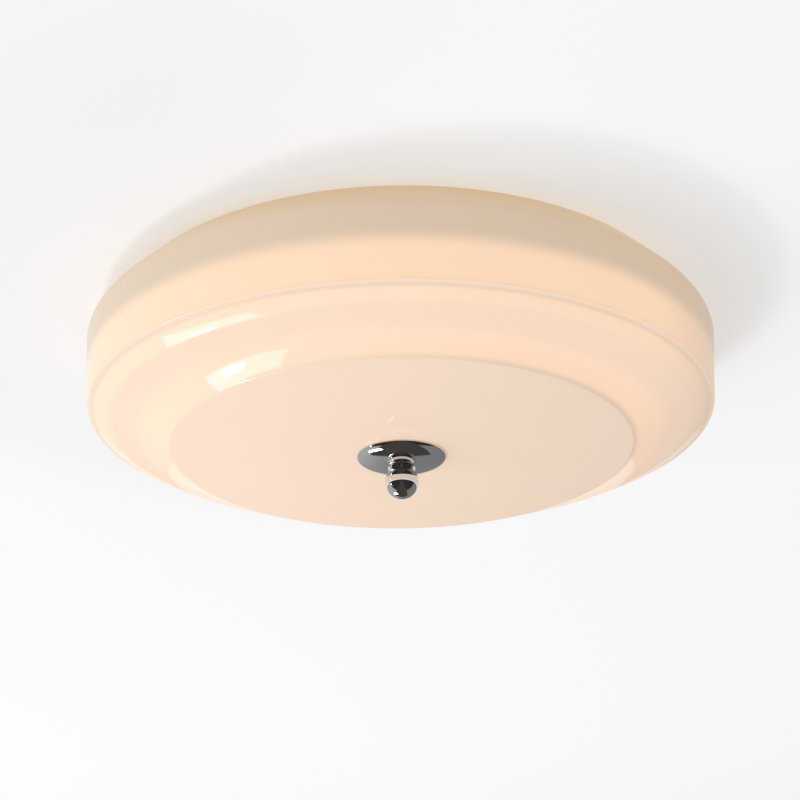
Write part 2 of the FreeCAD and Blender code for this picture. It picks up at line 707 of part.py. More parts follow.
def led_lead():
    """From the driver, down through the grommet, out to the connector."""
    x, high = dim("lead_x"), floor_top + dim("lead_exit_height")
    low = board_under - dim("connector_height") / 2.0
    start = dim("driver_y") - dim("driver_width") / 2.0
    end = connector_y() - dim("connector_depth") / 2.0
    lead("led_lead", [point(x, start, high), point(x, grommet_y, high),
                      point(x, grommet_y, low), point(x, end, low)],
         dim("lead_radius").number, dim("lead_bend").number)


def input_lead():
    """From the terminal block to the driver."""
    x, level = dim("way_pitch"), floor_top + dim("way_bore_height")
    start = dim("block_y") + dim("block_width") / 2.0
    end = dim("driver_y") - dim("driver_width") / 2.0
    lead("input_lead", [point(x, start, level), point(x, end, level)],
         dim("lead_radius").number, dim("lead_bend").number)


# ---------------------------------------------------------------- build and write
def build():
    for make in (glass_shade, shade_bush, shade_washer, finial_cap, finial_knob, ceiling_pan, pan_seal,
                 mounting_crossbar, pan_studs, pan_nuts, centre_rod, rod_hardware, led_board, led_chips,
                 led_screws, led_connector, led_driver, driver_screws, terminal_block, terminal_screws,
                 earth_point, lead_grommet, led_lead, input_lead):
        make()
    doc.recompute()


def check():
    for thing in doc.Objects:
        if "Invalid" in thing.State or "Error" in thing.State:
            raise RuntimeError(f"{thing.Label} failed: {thing.State}")
    for label, thing in SUBPARTS.items():
        if thing.Shape.isNull() or not thing.Shape.isValid():
            raise RuntimeError(f"{label} has no valid shape")


def write():
    os.makedirs("parts", exist_ok=True)
    for label, thing in SUBPARTS.items():
        thing.Shape.exportStep(os.path.join("parts", f"{label}.step"))
        print(label, len(thing.Shape.Solids), "solids", round(thing.Shape.Volume, 1), "mm3")


build()
check()
write()
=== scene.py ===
"""Looks of a flush mount ceiling light: opal glass shade, chromed ball finial, steel pan.

Metres, +Z up, origin in the middle of the ceiling plane. The lamp hangs towards -Z.
"""
from __future__ import annotations

import logging
import math
from dataclasses import dataclass, field
from enum import Enum
from typing import Sequence

import bmesh
import bpy
from mathutils import Euler, Matrix, Vector

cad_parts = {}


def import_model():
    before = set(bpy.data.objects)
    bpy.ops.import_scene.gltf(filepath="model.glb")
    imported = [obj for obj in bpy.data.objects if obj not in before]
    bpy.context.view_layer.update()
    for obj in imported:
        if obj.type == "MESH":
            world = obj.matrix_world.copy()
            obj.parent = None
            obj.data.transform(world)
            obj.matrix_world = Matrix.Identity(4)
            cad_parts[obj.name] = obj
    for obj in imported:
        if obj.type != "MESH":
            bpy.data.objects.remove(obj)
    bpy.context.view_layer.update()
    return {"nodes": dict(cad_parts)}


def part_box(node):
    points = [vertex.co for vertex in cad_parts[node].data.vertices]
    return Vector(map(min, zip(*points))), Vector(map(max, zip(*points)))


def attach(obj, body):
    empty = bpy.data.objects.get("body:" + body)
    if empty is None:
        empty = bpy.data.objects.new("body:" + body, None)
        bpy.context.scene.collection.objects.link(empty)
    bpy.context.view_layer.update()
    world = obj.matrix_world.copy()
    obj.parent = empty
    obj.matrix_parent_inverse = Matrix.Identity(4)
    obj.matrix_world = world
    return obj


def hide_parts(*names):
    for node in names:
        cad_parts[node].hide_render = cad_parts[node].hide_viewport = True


LOG = logging.getLogger("ceiling_light")
POLE_RADIUS = 1e-7
Colour = tuple[float, float, float]
Place = tuple[float, float, float]
ProfilePoint = tuple[float, float]
Span = tuple[float, float]
Socket = bpy.types.NodeSocket


class Body(Enum):
    """Rigid bodies that the pieces ride on."""

    FIXTURE = "fixture"
    SHADE = "shade"
    CAP = "cap"
    KNOB = "knob"


# ---nodes and shader expressions
def fill(tree: bpy.types.NodeTree, socket: Socket, value: object) -> None:
    """Links a signal or a socket to an input, or sets the input's own value.

    Args:
        tree: The node tree.
        socket: The input.
        value: A signal, an output socket or a plain value.
    """
    source = value.socket if isinstance(value, Signal) else value
    if isinstance(source, Socket):
        tree.links.new(source, socket)
    else:
        socket.default_value = source


def add_node(tree: bpy.types.NodeTree, kind: str, settings: dict[str, object] | None = None,
             inputs: dict[object, object] | None = None) -> bpy.types.Node:
    """Adds a node to a tree and sets it up.

    Args:
        tree: The node tree.
        kind: Node type.
        settings: Properties, which are set first.
        inputs: Values, signals or sockets by the input's name or index.

    Returns:
        The node.
    """
    made = tree.nodes.new(kind)
    for name, value in (settings or {}).items():
        setattr(made, name, value)
    for key, value in (inputs or {}).items():
        fill(tree, made.inputs[key], value)
    return made


class Signal:
    """A shader socket that can be used in Python arithmetic."""

    def __init__(self, paint: Paint, socket: Socket) -> None:
        """Keeps the output socket and the material it belongs to."""
        self.paint = paint
        self.socket = socket

    def _math(self, operation: str, *others: Signal | float) -> Signal:
        """A Math node on this signal and others."""
        return self.paint.node("ShaderNodeMath", {"operation": operation},
                               {n: value for n, value in enumerate((self, *others))})

    def __add__(self, other: Signal | float) -> Signal:
        """Sum."""
        return self._math("ADD", other)

    __radd__ = __add__

    def __mul__(self, other: Signal | float) -> Signal:
        """Product."""
        return self._math("MULTIPLY", other)

    __rmul__ = __mul__

    def __rsub__(self, other: float) -> Signal:
        """A number less this signal."""
        return self * -1.0 + other

    def __truediv__(self, other: Signal | float) -> Signal:
        """Quotient."""
        return self._math("DIVIDE", other)

    def __pow__(self, power: float) -> Signal:
        """Power."""
        return self._math("POWER", power)

    def between(self, low: float, high: float) -> Signal:
        """A smooth mask of this signal, 0 at low and beyond it, 1 at high and beyond it."""
        return self.paint.node("ShaderNodeMapRange", {"interpolation_type": "SMOOTHSTEP"},
                               {"Value": self, "From Min": low, "From Max": high})


class Paint:
    """A material under construction: one Principled shader and the nodes that feed it."""

    def __init__(self, name: str, base: Colour, roughness: float, metallic: float = 0.0) -> None:
        """Starts a material with one Principled shader.

        Args:
            name: Material name.
            base: Linear base colour.
            roughness: Roughness of the surface.
            metallic: 1 for bare metal.
        """
        self.material = bpy.data.materials.new(name)
        self.material.use_nodes = True
        self.tree = self.material.node_tree
        self.surface = self.tree.nodes["Principled BSDF"]
        self.set("Base Color", (*base, 1.0))
        self.set("Roughness", roughness)
        self.set("Metallic", metallic)

    def node(self, kind: str, settings: dict[str, object], inputs: dict[object, object]) -> Signal:
        """Adds a node with its settings and inputs, and gives its first enabled output."""
        made = add_node(self.tree, kind, settings, inputs)
        return Signal(self, next(out for out in made.outputs if out.enabled))

    def set(self, name: str, value: object) -> None:
        """Sets or links one input of the Principled shader."""
        fill(self.tree, self.surface.inputs[name], value)

    def place(self) -> Signal:
        """The surface's own coordinates, in metres."""
        return Signal(self, add_node(self.tree, "ShaderNodeTexCoord").outputs["Object"])

    def axes(self) -> tuple[Signal, Signal, Signal]:
        """The surface's own coordinates, one signal each."""
        made = add_node(self.tree, "ShaderNodeSeparateXYZ", inputs={0: self.place()})
        return tuple(Signal(self, out) for out in made.outputs)

    def noise(self, scale: float, detail: float = 2.0) -> Signal:
        """Noise about 0.5 on the surface's own coordinates, in cells to the metre and octaves."""
        return self.node("ShaderNodeTexNoise", {"normalize": True},
                         {"Vector": self.place(), "Scale": scale, "Detail": detail})

    def blend(self, mask: Signal | float, low: object, high: object) -> Signal:
        """Mixes two colours by a mask.

        Args:
            mask: 0 gives low and 1 gives high.
            low: Colour or signal.
            high: Colour or signal.

        Returns:
            The mixed colour.
        """
        ends = [(*end, 1.0) if isinstance(end, tuple) else end for end in (low, high)]
        made = add_node(self.tree, "ShaderNodeMix", {"data_type": "RGBA"}, {0: mask, 6: ends[0], 7: ends[1]})
        return Signal(self, made.outputs[2])

    def bump(self, height: Signal, strength: float, distance: float) -> None:
        """Lets a height feed the normal; distance is the depth of a full step in metres."""
        self.set("Normal", self.node("ShaderNodeBump", {},
                                     {"Height": height, "Strength": strength, "Distance": distance}))

    def light_nothing(self) -> None:
        """Leaves the surface's glow out of the light sampling."""
        self.material.cycles.emission_sampling = "NONE"

    def show_front_only(self) -> None:
        """Makes the surface clear from behind."""
        facing = add_node(self.tree, "ShaderNodeNewGeometry").outputs["Backfacing"]
        clear = add_node(self.tree, "ShaderNodeBsdfTransparent").outputs[0]
        mixed = add_node(self.tree, "ShaderNodeMixShader",
                         inputs={0: facing, 1: self.surface.outputs[0], 2: clear})
        fill(self.tree, self.tree.nodes["Material Output"].inputs["Surface"], mixed.outputs[0])


# ---finishes
@dataclass(frozen=True)
class OpalGlass:
    """Glossy opal glass with the glow of the emitters behind it.

    The colours are named for the zones of the bowl. Each fade is the span of height, or of distance to
    the right or from the axis, over which the glow changes to the next colour. Three marks in the glow are
    painted light and shade: painted shade along the groove (its colour also dims the middle of the disc),
    a disc painted lighter on the left than on the right, and painted shade down the right side of the bowl.
    """

    white: Colour = (0.56, 0.53, 0.49)
    at_neck: Colour = (0.43, 0.285, 0.140)
    above_board: Colour = (0.40, 0.280, 0.165)
    beside_board: Colour = (0.70, 0.450, 0.250)
    on_band: Colour = (0.63, 0.395, 0.220)
    in_cove: Colour = (0.54, 0.340, 0.205)
    on_tier: Colour = (0.63, 0.375, 0.205)
    # Painted light: the disc is lighter on the left than on the right.
    disc_painted_light_left: Colour = (0.575, 0.365, 0.225)
    disc_painted_shade_right: Colour = (0.385, 0.255, 0.145)
    # Painted shade along the groove; the same colour also dims the middle of the disc.
    groove_shade_and_dim_middle: Colour = (0.43, 0.270, 0.165)
    # Painted shade down the right side of the bowl.
    right_painted_shade: Colour = (0.36, 0.240, 0.150)
    neck_fade: Span = (-0.0170, -0.0235)
    board_fade: Span = (-0.0360, -0.0480)
    wall_fade: Span = (-0.0628, -0.0678)
    cove_fade: Span = (-0.0705, -0.0735)
    tier_fade: Span = (-0.0755, -0.0795)
    disc_fade: Span = (-0.0842, -0.0866)
    groove_top: Span = (-0.0656, -0.0668)
    groove_foot: Span = (-0.0684, -0.0668)
    disc_light_side_fade: Span = (-0.19, 0.19)
    right_shade_fade: Span = (0.135, 0.205)
    middle_fade: Span = (0.015, 0.110)
    middle_level: Span = (-0.0800, -0.0866)
    groove_shade_share: float = 0.75
    right_shade_share: float = 0.75
    middle_share: float = 0.20
    cloud_share: float = 0.06
    coat_weight: float = 0.38
    coat_index: float = 1.45
    coat_roughness: float = 0.05

    def glow(self, paint: Paint) -> Signal:
        """The colour of the light that comes through the glass.

        Args:
            paint: The material under construction.

        Returns:
            The glow, dim above the board, brightest beside it and even below, with painted shade in the
            groove and down the right side and a disc painted lighter on the left than on the right.
        """
        across, along, up = paint.axes()
        reach = (across * across + along * along) ** 0.5
        upper = paint.blend(up.between(*self.neck_fade), self.at_neck, self.above_board)
        wall = paint.blend(up.between(*self.board_fade), upper, self.beside_board)
        lower = paint.blend(up.between(*self.cove_fade), self.on_band, self.in_cove)
        lower = paint.blend(up.between(*self.tier_fade), lower, self.on_tier)
        # Painted light and shade: the disc is drawn lighter on the left and darker on the right.
        disc = paint.blend(across.between(*self.disc_light_side_fade), self.disc_painted_light_left, self.disc_painted_shade_right)
        lower = paint.blend(up.between(*self.disc_fade), lower, disc)
        whole = paint.blend(up.between(*self.wall_fade), wall, lower)
        # Painted shade: a darker line along the groove at the wall's foot.
        groove = up.between(*self.groove_top) * up.between(*self.groove_foot)
        whole = paint.blend(groove * self.groove_shade_share, whole, self.groove_shade_and_dim_middle)
        # Painted shade: the right side of the bowl is drawn darker.
        whole = paint.blend(across.between(*self.right_shade_fade) * self.right_shade_share, whole, self.right_painted_shade)
        middle = (1.0 - reach.between(*self.middle_fade)) * self.middle_share
        whole = paint.blend(middle * up.between(*self.middle_level), whole, self.groove_shade_and_dim_middle)
        cloud = paint.noise(9.0, 3.0).between(0.35, 0.75)
        return paint.blend(cloud * self.cloud_share, whole, self.beside_board)

    def paint(self) -> bpy.types.Material:
        """Builds the material.

        Returns:
            The finished material.
        """
        paint = Paint("opal_glass", self.white, 0.05)
        paint.set("Emission Color", self.glow(paint))
        paint.set("Emission Strength", 1.0)
        paint.set("Specular IOR Level", 0.0)
        paint.set("Coat Weight", self.coat_weight)
        paint.set("Coat IOR", self.coat_index)
        paint.set("Coat Roughness", self.coat_roughness)
        paint.set("Roughness", 0.35 + paint.noise(40.0) * 0.1)
        paint.bump(paint.noise(7.0, 1.0), 0.12, 0.0004)
        return paint.material


@dataclass(frozen=True)
class Metal:
    """Bare, plated or polished metal."""

    name: str
    base: Colour
    roughness: float
    grain: float
    scale: float

    def paint(self) -> bpy.types.Material:
        """Builds the material.

        Returns:
            The finished material.
        """
        paint = Paint(self.name, self.base, self.roughness, 1.0)
        smear = paint.noise(self.scale, 3.0)
        paint.set("Roughness", self.roughness + smear * self.grain)
        dull = tuple(channel * 0.86 for channel in self.base)
        paint.set("Base Color", paint.blend(smear.between(0.4, 0.8), self.base, dull))
        paint.bump(paint.noise(self.scale * 12.0), self.grain, 0.00005)
        return paint.material


@dataclass(frozen=True)
class Coating:
    """Paint, moulded plastic, rubber or foam: one colour with a fine texture."""

    name: str
    base: Colour
    roughness: float
    texture: float
    scale: float = 900.0
    glow: Colour = (0.0, 0.0, 0.0)

    def paint(self) -> bpy.types.Material:
        """Builds the material.

        Returns:
            The finished material.
        """
        paint = Paint(self.name, self.base, self.roughness)
        fine = paint.noise(self.scale)
        broad = paint.noise(14.0)
        shade = tuple(channel * 0.9 for channel in self.base)
        paint.set("Base Color", paint.blend(broad.between(0.35, 0.8), self.base, shade))
        paint.set("Roughness", self.roughness - 0.04 + fine * 0.08)
        paint.bump(fine, self.texture, 0.0001)
        if any(self.glow):
            paint.set("Emission Color", (*self.glow, 1.0))
            paint.set("Emission Strength", 1.0)
        return paint.material


class Finish(Enum):
    """Every finish on the lamp."""

    OPAL = OpalGlass()
    CHROME = Metal("chrome", (0.80, 0.80, 0.80), 0.035, 0.02, 30.0)
    ZINC = Metal("zinc_steel", (0.62, 0.63, 0.64), 0.28, 0.18, 120.0)
    BRASS = Metal("brass", (0.72, 0.52, 0.22), 0.22, 0.12, 120.0)
    COAT = Coating("pan_white", (0.80, 0.80, 0.77), 0.42, 0.35, 700.0)
    SILICONE = Coating("silicone", (0.74, 0.73, 0.70), 0.45, 0.15)
    FOAM = Coating("seal_foam", (0.70, 0.69, 0.66), 0.9, 0.9, 1600.0)
    BOARD = Coating("board_white", (0.82, 0.82, 0.80), 0.32, 0.1)
    PHOSPHOR = Coating("led_phosphor", (0.85, 0.68, 0.22), 0.25, 0.05, glow=(0.9, 0.55, 0.22))
    CONNECTOR = Coating("connector_white", (0.80, 0.79, 0.75), 0.3, 0.08)
    DRIVER = Coating("driver_white", (0.74, 0.74, 0.72), 0.5, 0.5, 1400.0)
    TERMINAL = Coating("terminal_plastic", (0.62, 0.64, 0.62), 0.4, 0.1)
    RUBBER = Coating("black_rubber", (0.02, 0.02, 0.02), 0.6, 0.2)
    SHEATH = Coating("lead_sheath", (0.68, 0.67, 0.63), 0.45, 0.1)


class Wardrobe:
    """Paints each finish once and hands it out."""

    def __init__(self) -> None:
        """Starts with nothing painted."""
        self._painted: dict[Finish, bpy.types.Material] = {}

    def get(self, finish: Finish) -> bpy.types.Material:
        """The material of a finish, painted on first use.

        Args:
            finish: Which finish.

        Returns:
            Its material.
        """
        if finish not in self._painted:
            self._painted[finish] = finish.value.paint()
        return self._painted[finish]

    def dress(self, piece: bpy.types.Object, finish: Finish) -> None:
        """Gives a piece one finish and no other."""
        piece.data.materials.clear()
        piece.data.materials.append(self.get(finish))


# ---profiles
def arc(centre: ProfilePoint, radius: float, start: float, end: float, steps: int) -> list[ProfilePoint]:
    """Points on an arc of a profile.

    Args:
        centre: Radius and height of the centre.
        radius: Arc radius.
        start: First angle in degrees, 0 outwards and 90 up.
        end: Last angle.
        steps: Number of chords.

    Returns:
        The points, both ends included.
    """
    angles = [math.radians(start + (end - start) * n / steps) for n in range(steps + 1)]
    return [(centre[0] + radius * math.cos(a), centre[1] + radius * math.sin(a)) for a in angles]


def rounded(points: Sequence[ProfilePoint], radii: Sequence[float], steps: int = 6) -> list[ProfilePoint]:
    """Rounds the inner corners of an open profile with tangent arcs.

    Args:
        points: Corners from one end to the other.
        radii: One radius a corner; 0 leaves it sharp. The two ends are never rounded.
        steps: Chords in each arc.

    Returns:
        The rounded profile.
    """
    result = [points[0]]
    for before, corner, after, radius in zip(points, points[1:], points[2:], radii[1:-1]):
        if radius <= 0:
            result.append(corner)
            continue
        here = Vector(corner)
        back, ahead = (Vector(before) - here).normalized(), (Vector(after) - here).normalized()
        half = back.angle(ahead) / 2.0
        middle = here + (back + ahead).normalized() * (radius / math.sin(half))
        entry = here + back * (radius / math.tan(half)) - middle
        leave = here + ahead * (radius / math.tan(half)) - middle
        first = math.atan2(entry.y, entry.x)
        sweep = math.remainder(math.atan2(leave.y, leave.x) - first, 2.0 * math.pi)
        result += arc(tuple(middle), radius, math.degrees(first), math.degrees(first + sweep), steps)
    result.append(points[-1])
    return result


def bent(start: ProfilePoint, pull: ProfilePoint, end: ProfilePoint, steps: int) -> list[ProfilePoint]:
    """A smooth curve between two points that leaves and arrives along the lines to a third.

    Args:
        start: First point.
        pull: Point towards which both ends run.
        end: Last point.
        steps: Number of chords.

    Returns:
        The points, both ends included.
    """
    line = []
    for n in range(steps + 1):
        share = n / steps
        weights = ((1 - share) ** 2, 2 * share * (1 - share), share ** 2)
        line.append(tuple(sum(w * p[axis] for w, p in zip(weights, (start, pull, end))) for axis in (0, 1)))
    return line


def spread(points: Sequence[ProfilePoint], longest: float = 0.006) -> list[ProfilePoint]:
    """Divides long straight runs so that the shading and the glow follow the wall.

    Args:
        points: The profile.
        longest: Longest run left whole, in metres.

    Returns:
        The profile with added points.
    """
    result = [points[0]]
    for start, end in zip(points, points[1:]):
        parts = max(1, math.ceil(math.dist(start, end) / longest))
        for n in range(1, parts + 1):
            share = n / parts
            result.append((start[0] + (end[0] - start[0]) * share, start[1] + (end[1] - start[1]) * share))
    return result


# ---objects
def new_object(name: str, data: bpy.types.ID) -> bpy.types.Object:
    """Makes an object from its data and links it to the scene.

    Args:
        name: Object name.
        data: Mesh, camera or lamp data.

    Returns:
        The object, at the origin.
    """
    made = bpy.data.objects.new(name, data)
    bpy.context.scene.collection.objects.link(made)
    return made


def finished(name: str, mesh: bmesh.types.BMesh, sharp: float = 35.0) -> bpy.types.Object:
    """Turns a bmesh into a smooth-shaded object with sharp edges kept.

    Args:
        name: Object name.
        mesh: The mesh, which is freed.
        sharp: Angle in degrees past which an edge stays sharp.

    Returns:
        The object.
    """
    limit = math.radians(sharp)
    for face in mesh.faces:
        face.smooth = True
    for edge in mesh.edges:
        edge.smooth = len(edge.link_faces) != 2 or edge.calc_face_angle(0.0) < limit
    data = bpy.data.meshes.new(name)
    mesh.to_mesh(data)
    mesh.free()
    return new_object(name, data)


def turned(name: str, outline: Sequence[ProfilePoint], segments: int,
           closed: bool = True) -> bpy.types.Object:
    """Turns a profile about the Z axis into a mesh.

    Args:
        name: Object name.
        outline: Radius and height of each point; a radius of 0 becomes a pole.
        segments: Steps round the axis.
        closed: Joins the last point to the first.

    Returns:
        The object, at the origin.
    """
    mesh = bmesh.new()
    rings = []
    for radius, height in outline:
        if radius < POLE_RADIUS:
            rings.append([mesh.verts.new((0.0, 0.0, height))] * segments)
            continue
        turns = [2.0 * math.pi * n / segments for n in range(segments)]
        rings.append([mesh.verts.new((radius * math.cos(t), radius * math.sin(t), height)) for t in turns])
    for one, two in zip(rings, rings[1:] + (rings[:1] if closed else [])):
        for n in range(segments):
            following = (n + 1) % segments
            corners = dict.fromkeys((one[n], one[following], two[following], two[n]))
            if len(corners) > 2:
                mesh.faces.new(list(corners))
    bmesh.ops.recalc_face_normals(mesh, faces=mesh.faces)
    return finished(name, mesh)


def settle(piece: bpy.types.Object, body: Body, node: str) -> None:
    """Puts a finished piece on its body in place of a CAD node.

    Args:
        piece: The piece.
        body: Body that it rides on.
        node: CAD node that it stands for.
    """
    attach(piece, body.value)
    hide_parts(node)
    LOG.info("%s: %d faces", piece.name, len(piece.data.polygons))


# ---repeated pieces
class Field:
    """Builds a Geometry Nodes tree that sets one piece on each of a row of points."""

    def __init__(self, name: str, sizes: dict[str, float | int]) -> None:
        """Starts a tree with named inputs.

        Args:
            name: Name of the tree and of the piece that it makes.
            sizes: Named inputs with their values; whole numbers become counts.
        """
        self.name = name
        self.sizes = sizes
        self.tree = bpy.data.node_groups.new(name, "GeometryNodeTree")
        self.tree.interface.new_socket("Geometry", in_out="INPUT", socket_type="NodeSocketGeometry")
        self.tree.interface.new_socket("Geometry", in_out="OUTPUT", socket_type="NodeSocketGeometry")
        for label, value in sizes.items():
            kind = "NodeSocketInt" if isinstance(value, int) else "NodeSocketFloat"
            self.tree.interface.new_socket(label, in_out="INPUT", socket_type=kind)
        self.enter = self.tree.nodes.new("NodeGroupInput")
        self.leave = self.tree.nodes.new("NodeGroupOutput")

    def node(self, kind: str, inputs: dict[object, object], **settings: object) -> bpy.types.Node:
        """Adds a node to the tree, with its inputs and its settings by name."""
        return add_node(self.tree, kind, settings, inputs)

    def size(self, name: str) -> Socket:
        """The socket of a named input."""
        return self.enter.outputs[name]

    def join(self, parts: Sequence[Socket]) -> Socket:
        """Puts several geometries into one.

        Args:
            parts: Their sockets.

        Returns:
            The joined geometry.
        """
        made = self.node("GeometryNodeJoinGeometry", {})
        for part in parts:
            self.tree.links.new(part, made.inputs[0])
        return made.outputs[0]

    def moved(self, part: Socket, place: Place = (0.0, 0.0, 0.0), turn: Place = (0.0, 0.0, 0.0),
              scale: Place = (1.0, 1.0, 1.0)) -> Socket:
        """Scales, turns and moves a geometry.

        Args:
            part: Its socket.
            place: Offset in metres.
            turn: Turn about each axis in degrees.
            scale: Scale along each axis.

        Returns:
            The moved geometry.
        """
        angles = tuple(math.radians(angle) for angle in turn)
        made = self.node("GeometryNodeTransform",
                         {"Geometry": part, "Translation": place, "Rotation": angles, "Scale": scale})
        return made.outputs[0]

    def taper(self, sides: int, low: float, high: float, depth: float, level: float = 0.0,
              turn: float = 0.0) -> Socket:
        """An upright tapered prism or round.

        Args:
            sides: Sides round the axis.
            low: Radius of the lower end.
            high: Radius of the upper end.
            depth: Height.
            level: Height of the lower end.
            turn: Turn about the axis in degrees.

        Returns:
            The solid.
        """
        cone = self.node("GeometryNodeMeshCone", {"Vertices": sides, "Radius Bottom": low,
                                                  "Radius Top": high, "Depth": depth})
        return self.moved(cone.outputs["Mesh"], (0.0, 0.0, level), (0.0, 0.0, turn))

    def block(self, size: Place, middle: Place) -> Socket:
        """A rectangular tool for cuts, by its lengths and its middle."""
        cube = self.node("GeometryNodeMeshCube", {"Size": size})
        return self.moved(cube.outputs["Mesh"], middle)

    def round(self, across: float, deep: float, level: float, sides: int = 48) -> Socket:
        """A flattened ball, by its radius in plan, half height, level and sides round the axis."""
        ball = self.node("GeometryNodeMeshUVSphere", {"Segments": sides, "Rings": sides // 2, "Radius": 1.0})
        return self.moved(ball.outputs["Mesh"], (0.0, 0.0, level), scale=(across, across, deep))

    def combined(self, operation: str, body: Socket, tools: Sequence[Socket]) -> Socket:
        """Cuts tools from a solid, or keeps what they share.

        Args:
            operation: DIFFERENCE or INTERSECT.
            body: The solid.
            tools: The other solids.

        Returns:
            The result.
        """
        made = self.node("GeometryNodeMeshBoolean", {}, operation=operation)
        self.tree.links.new(body, made.inputs["Mesh 1" if operation == "DIFFERENCE" else "Mesh 2"])
        for tool in tools:
            self.tree.links.new(tool, made.inputs["Mesh 2"])
        return made.outputs["Mesh"]

    def ring(self, radius: Socket, level: float, first: float = 0.0) -> Socket:
        """Points evenly round a circle, as many as the input Count, from an angle in degrees."""
        circle = self.node("GeometryNodeMeshCircle", {"Vertices": self.size("Count"), "Radius": radius},
                           fill_type="NONE")
        return self.moved(circle.outputs["Mesh"], (0.0, 0.0, level), (0.0, 0.0, first))

    def rows(self, starts: Sequence[Place]) -> Socket:
        """Rows of points along X, each of the inputs Count and Step.

        Args:
            starts: First point of each row.

        Returns:
            The points.
        """
        offset = self.node("ShaderNodeCombineXYZ", {"X": self.size("Step")}).outputs[0]
        lines = [self.node("GeometryNodeMeshLine", {"Count": self.size("Count"), "Start Location": start,
                                                    "Offset": offset}).outputs[0] for start in starts]
        return self.join(lines)

    def grow(self, points: Socket, piece: Socket, material: bpy.types.Material,
             facing: bool = False) -> bpy.types.Object:
        """Sets the piece on each point, ends the tree and turns it into a plain mesh.

        Args:
            points: Where.
            piece: What.
            material: Its finish.
            facing: Turns each piece to face along its radius.

        Returns:
            The object, with no modifier left.
        """
        inputs = {"Points": points, "Instance": piece}
        if facing:
            where = self.node("GeometryNodeInputPosition", {})
            apart = self.node("ShaderNodeSeparateXYZ", {0: where.outputs[0]})
            turn = self.node("ShaderNodeMath", {0: apart.outputs["Y"], 1: apart.outputs["X"]},
                             operation="ARCTAN2")
            spin = self.node("ShaderNodeCombineXYZ", {"Z": turn.outputs[0]})
            inputs["Rotation"] = self.node("FunctionNodeEulerToRotation", {0: spin.outputs[0]}).outputs[0]
        placed = self.node("GeometryNodeInstanceOnPoints", inputs)
        whole = self.node("GeometryNodeRealizeInstances", {"Geometry": placed.outputs[0]})
        dressed = self.node("GeometryNodeSetMaterial", {"Geometry": whole.outputs[0], "Material": material})
        self.tree.links.new(dressed.outputs[0], self.leave.inputs[0])
        grower = new_object(self.name, bpy.data.meshes.new(self.name))
        modifier = grower.modifiers.new("field", "NODES")
        modifier.node_group = self.tree
        for item in self.tree.interface.items_tree:
            if item.in_out == "INPUT" and item.name in self.sizes:
                modifier[item.identifier] = self.sizes[item.name]
        bpy.context.view_layer.update()
        made = bpy.data.meshes.new_from_object(grower.evaluated_get(bpy.context.evaluated_depsgraph_get()))
        grower.modifiers.clear()
        made.polygons.foreach_set("material_index", [0] * len(made.polygons))
        made.materials.clear()
        made.materials.append(material)
        grower.data = made
        return grower


# ---sub-assemblies
@dataclass
class Shade:
    """The opal glass bowl: neck, flared shoulder, wall, step, two tiers and a flat disc."""

    wardrobe: Wardrobe
    wall: float = 0.0045
    neck_radius: float = 0.1832
    rim_round: float = 0.0012
    shoulder: ProfilePoint = (0.2019, -0.0204)
    shoulder_round: float = 0.0085
    foot: ProfilePoint = (0.1980, -0.0660)
    foot_round: float = 0.0008
    step: ProfilePoint = (0.1952, -0.0668)
    step_round: float = 0.0008
    band_pull: ProfilePoint = (0.1864, -0.0721)
    band_end: ProfilePoint = (0.1821, -0.0731)
    tier_pull: ProfilePoint = (0.1595, -0.0788)
    disc_radius: float = 0.1464
    crease_round: float = 0.0025
    hole_radius: float = 0.0076
    hole_ease: float = 0.0006
    hole_land: float = 0.002
    inner_inset: float = 0.0015
    inner_corners: tuple[ProfilePoint, ...] = ((0.1615, -0.0754), (0.1855, -0.0668), (0.1935, -0.0615))
    inner_rounds: tuple[float, ...] = (0.0, 0.004, 0.010, 0.008, 0.003, 0.002, 0.0)
    segments: int = 384

    def outside(self, rim: float, disc: float) -> list[ProfilePoint]:
        """The outer face from the rim down to the hole.

        Args:
            rim: Level of the rim.
            disc: Level of the disc's lower face.

        Returns:
            The profile points.
        """
        upper = [(self.neck_radius - self.rim_round, rim), (self.neck_radius, rim), self.shoulder,
                 self.foot, self.step, self.band_pull]
        rounds = [0, self.rim_round * 0.8, self.shoulder_round, self.foot_round, self.step_round, 0]
        wall = rounded(upper, rounds, 8)[:-1]
        band = bent(wall[-1], self.band_pull, self.band_end, 14)[1:]
        tier = bent(self.band_end, self.tier_pull, (self.disc_radius, disc), 20)[1:]
        floor = [tier[-2], tier[-1], (self.hole_radius + self.hole_land, disc)]
        crease = rounded(floor, [0, self.crease_round, 0])[1:]
        return spread(wall + band + tier[:-1] + crease)

    def inside(self, rim: float, disc: float) -> list[ProfilePoint]:
        """The inner face from the hole back up to the rim.

        Args:
            rim: Level of the rim.
            disc: Level of the disc's lower face.

        Returns:
            The profile points.
        """
        floor = disc + self.wall
        corners = [(self.hole_radius + self.hole_land, floor), (self.disc_radius - self.inner_inset, floor),
                   *self.inner_corners,
                   (self.shoulder[0] - self.wall, self.shoulder[1] - self.inner_inset),
                   (self.neck_radius - self.wall, rim)]
        return rounded(corners, self.inner_rounds, 5)

    def outline(self) -> list[ProfilePoint]:
        """The closed wall section.

        Returns:
            The profile from the rim down outside, round the hole and back up inside.
        """
        low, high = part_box("glass_shade")
        hole, ease, top = self.hole_radius, self.hole_ease, low.z + self.wall
        lip = [(hole + ease, low.z), (hole, low.z + ease), (hole, top - ease), (hole + ease, top)]
        return self.outside(high.z, low.z) + lip + self.inside(high.z, low.z)

    def build(self) -> None:
        """Makes the glass and sets it on its body."""
        glass = turned("shade_glass", self.outline(), self.segments)
        self.wardrobe.dress(glass, Finish.OPAL)
        settle(glass, Body.SHADE, "glass_shade")


